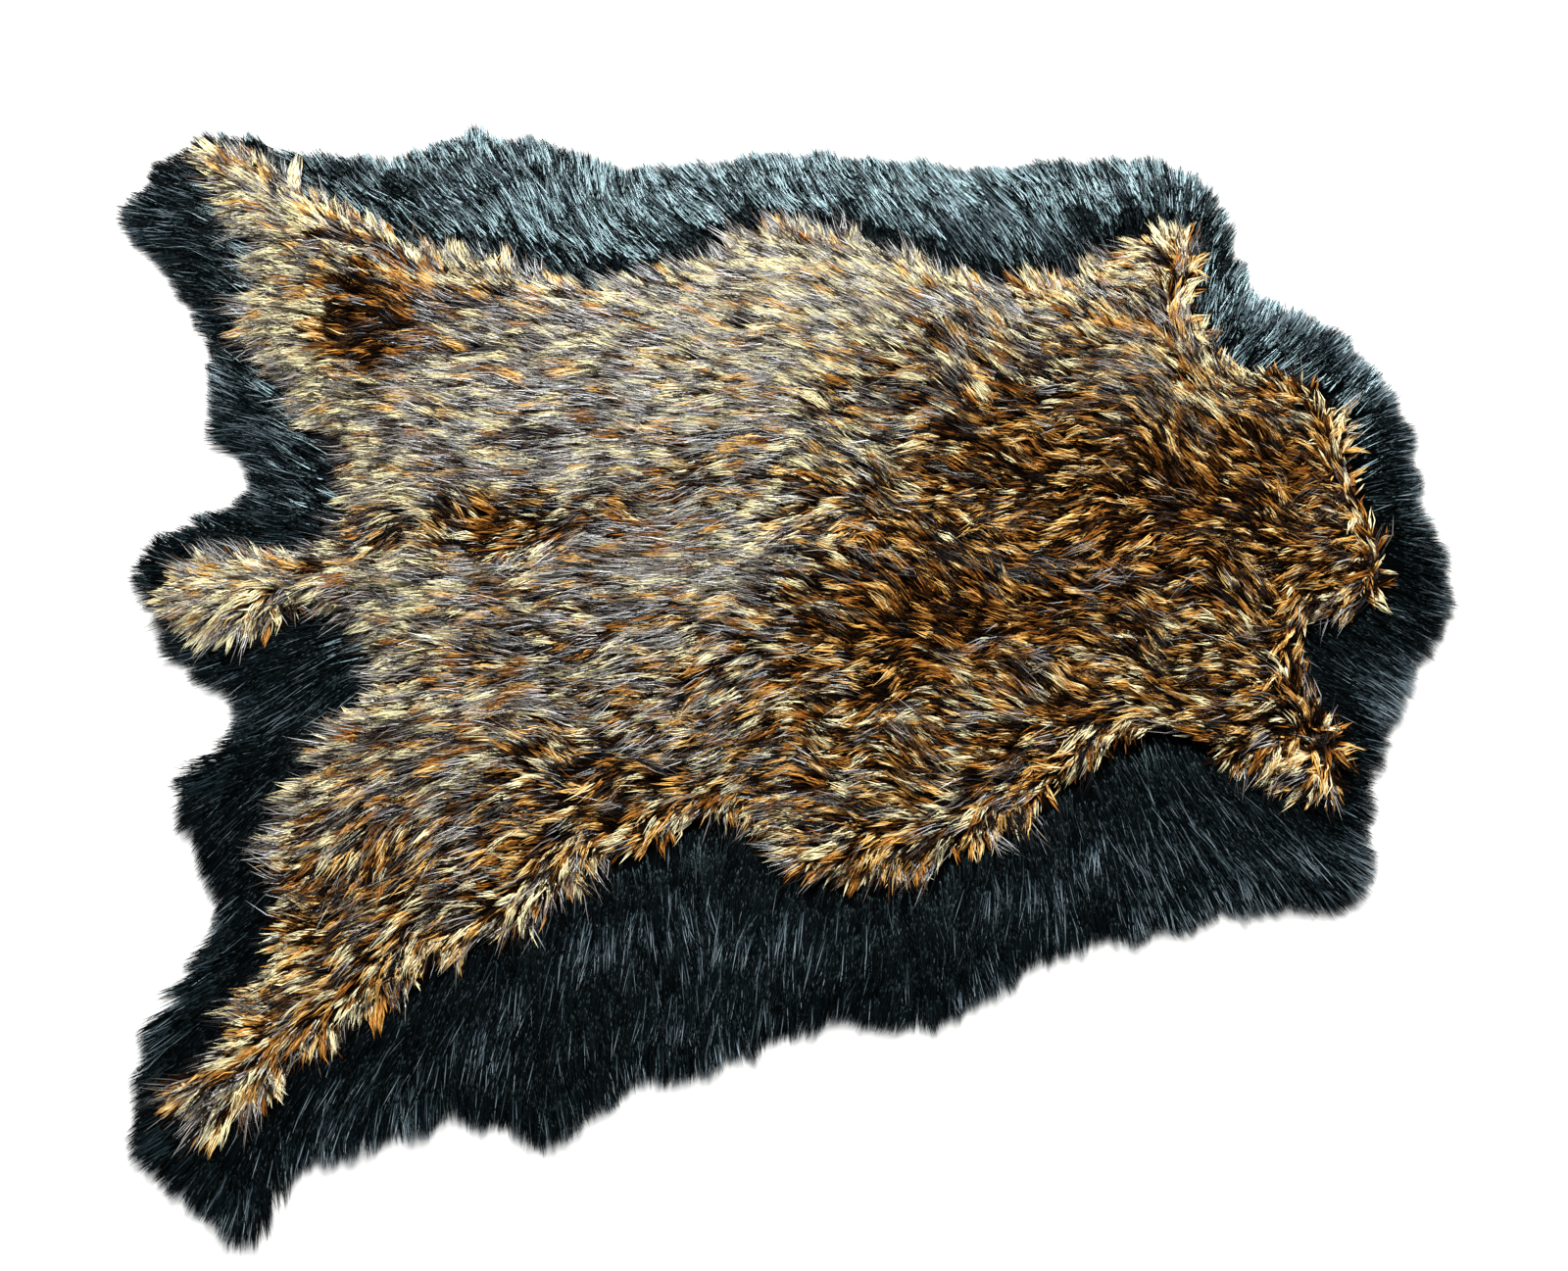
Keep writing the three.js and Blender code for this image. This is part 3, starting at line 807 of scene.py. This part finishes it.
brindled_hair = hair_finish(
    "brindled_pile",
    root_colour=(0.0040, 0.0014, 0.0006),
    bodies=[
        (0.18, (0.0030, 0.0014, 0.0008)),
        (0.30, (0.11, 0.030, 0.004)),
        (0.50, (0.32, 0.110, 0.016)),
        (0.64, (0.52, 0.25, 0.065)),
        (0.80, (0.52, 0.25, 0.065)),
        (0.90, (0.05, 0.026, 0.015)),
    ],
    ends=[
        (0.16, (0.0050, 0.0020, 0.0010)),
        (0.30, (0.38, 0.13, 0.018)),
        (0.50, (0.90, 0.50, 0.12)),
        (0.64, (1.0, 0.92, 0.56)),
        (0.80, (1.0, 0.92, 0.56)),
        (0.92, (0.19, 0.115, 0.07)),
    ],
    body_from=(0.06, 0.30),
    end_from=(0.34, 0.60),
    roughness=(1.0, 0.36),
    gloss=0.07,
    tint=(1.0, 0.88, 0.72),
)
pelt = {
    "slot": "brindled_fur",
    "turned": 0.0,
    "uneven": 0.07,
    "finishes": [brindled_hair],
    "bottom": pelt_underside + backing_thickness,
    "root": np.full(chart_shape, pelt_underside + backing_thickness),
    "top": np.maximum(top_chart("pelt"), shag["top"]),
    "tip_depth": depth_chart(pelt_tips),
    "spill": (0.000, 0.006),
}
pelt_kinds = {
    "brindled_ground": {
        "spacing": 0.0102, "hairs": 6, "spread": 0.0064, "gather": 0.2, "stray": 0.0025,
        "ragged": 0.006, "fringe": 0.002, "layers": (0.40, 0.80), "bend": 0.6, "shoulder": 0.80,
        "rim": 0.002, "width": 0.0026, "roll": 0.3, "mix": 0.08,
        "length": 0.042, "dark_more": 1.10, "grey_more": 0.05, "turn": 0.14,
    },
    "brindled_tufts_low": {
        "spacing": 0.0128, "hairs": 13, "spread": 0.0062, "gather": 0.58, "stray": 0.0016,
        "ragged": 0.005, "fringe": 0.006, "layers": (0.72, 0.95), "bend": 0.62, "shoulder": 0.88,
        "rim": 0.003, "width": 0.0015, "roll": 0.3, "mix": 0.08,
        "length": 0.048, "dark_more": 0.25, "grey_more": 0.0, "turn": 0.10,
    },
    "brindled_tufts_high": {
        "spacing": 0.0195, "hairs": 30, "spread": 0.0070, "gather": 0.60, "stray": 0.0018,
        "ragged": 0.007, "fringe": 0.009, "layers": (0.95, 1.14), "bend": 0.62, "shoulder": 0.90,
        "rim": 0.005, "width": 0.0012, "roll": 0.3, "mix": 0.08,
        "length": 0.052, "dark_more": -0.05, "grey_more": -0.14, "turn": 0.10,
    },
}

# The tufts are finer and closer together the more golden the fur is
finest = 0.60
for seed, (name, kind) in enumerate(pelt_kinds.items(), start=41):
    middles = spread_out(pelt_cut, kind["spacing"] * finest, seed)
    rng = np.random.default_rng(seed + 10)
    sizes = 1 - (1 - finest) * sampled(gold, middles)
    kept = rng.uniform(0, 1, len(middles)) < (finest / sizes) ** 2
    middles, sizes = middles[kept], sizes[kept]
    headings = pelt_headings(middles, seed + 20, kind["turn"])
    lengths = kind["length"] * sizes + rng.normal(0.0, 0.005, len(middles))
    ends = middles + 0.7 * headings * lengths[:, None]
    columns = mixed_columns(ends, seed + 30, kind["dark_more"], kind["grey_more"])
    lay_hairs(name, pelt, kind, middles, sizes, headings, lengths, columns, seed + 40)

# Long straight guard hairs lie over the tufts in small bunches: silver grey over the hind
# half, black and silver over the front half, and some reach out over the black border.
# Their silver is partly the hair's own colour and partly painted highlight on dark hair.
guard_hair = hair_finish(
    "guard_hair",
    root_colour=(0.010, 0.008, 0.008),
    bodies=[
        (0.0, (0.004, 0.004, 0.004)),
        (0.52, (0.010, 0.008, 0.008)),
        (0.64, (0.14, 0.11, 0.09)),
        (1.0, (0.42, 0.41, 0.41)),
    ],
    ends=[
        (0.0, (0.005, 0.005, 0.005)),
        (0.52, (0.022, 0.016, 0.015)),
        (0.64, (0.30, 0.24, 0.19)),
        (1.0, (0.86, 0.86, 0.86)),
    ],
    body_from=(0.05, 0.40),
    end_from=(0.40, 0.90),
    roughness=(0.30, 0.22),
    gloss=0.5,
    tint=(0.9, 0.95, 1.0),
)
guard_cloth = dict(pelt, finishes=[guard_hair], spill=(0.015, 0.014))
guard_kind = {
    "spacing": 0.0100, "hairs": 8, "spread": 0.0080, "gather": 0.40, "stray": 0.0030,
    "ragged": 0.008, "fringe": 0.015, "layers": (0.98, 1.22), "bend": 0.55, "shoulder": 0.94,
    "rim": 0.006, "width": 0.0008, "roll": 0.3, "mix": 0.24,
}

# Broken silver streams of longer guard hair: two across the far shoulder and one along the
# back, each from its start, nearer to the neck, to its end
stream_columns = ("start_x", "start_y", "end_x", "end_y", "half_width")
stream_rows = [
    (0.490, 0.165, 0.175, 0.320, 0.018),
    (0.530, 0.070, 0.345, 0.255, 0.016),
    (0.420, -0.066, -0.300, 0.016, 0.014),
]
stream = np.zeros(chart_shape)
stream_way = np.zeros((*chart_shape, 2))
for row in stream_rows:
    line = dict(zip(stream_columns, row))
    run_x, run_y = line["end_x"] - line["start_x"], line["end_y"] - line["start_y"]
    run = math.hypot(run_x, run_y)
    off_x, off_y = chart_x - line["start_x"], chart_y - line["start_y"]
    share = np.clip((off_x * run_x + off_y * run_y) / run ** 2, 0, 1)
    distance = np.hypot(off_x - share * run_x, off_y - share * run_y)
    nearness = np.exp(-(distance / line["half_width"]) ** 2)
    nearness *= 0.5 + 0.5 * patchiness(chart_points, pitch=0.045, seed=86).reshape(chart_shape)
    stream = np.maximum(stream, nearness)
    stream_way += nearness[..., None] * np.array([run_x, run_y]) / run

# They are sparser where the fur is golden or dark, but not in the streams
middles = spread_out(pelt_cut, guard_kind["spacing"], seed=81)
rng = np.random.default_rng(82)
bare = np.clip(0.50 * sampled(gold, middles) + 0.50 * sampled(dark, middles), 0, 0.9)
bare *= 1 - 0.8 * sampled(stream, middles)
middles = middles[rng.uniform(0, 1, len(middles)) > bare]
in_stream = sampled(stream, middles)
along_stream = np.column_stack([sampled(stream_way[..., k], middles) for k in (0, 1)])
headings = pelt_headings(middles, seed=83, stray=0.10) * (1 - in_stream)[:, None]
headings = unit(headings + along_stream)
lengths = 0.056 - 0.010 * sampled(gold, middles) + rng.normal(0.0, 0.006, len(middles))
lengths += 0.014 * in_stream
sizes = 1 + 0.16 * in_stream
# Here it is the pelt's own dark patches, not shade.
painted_shade_and_dark_patch = np.clip(sampled(dark, middles), 0, 1)
columns = 0.48 - 0.08 * sampled(gold, middles) - 0.25 * painted_shade_and_dark_patch + 0.22 * in_stream
columns += 0.16 * patchiness(middles, pitch=0.03, seed=84) + 0.05 * sampled(pelt_fringe, middles)
columns += rng.normal(0.0, 0.06, len(middles))
guard_hairs = lay_hairs(
    "guard_hairs", guard_cloth, guard_kind, middles, sizes, headings, lengths, columns, seed=85
)
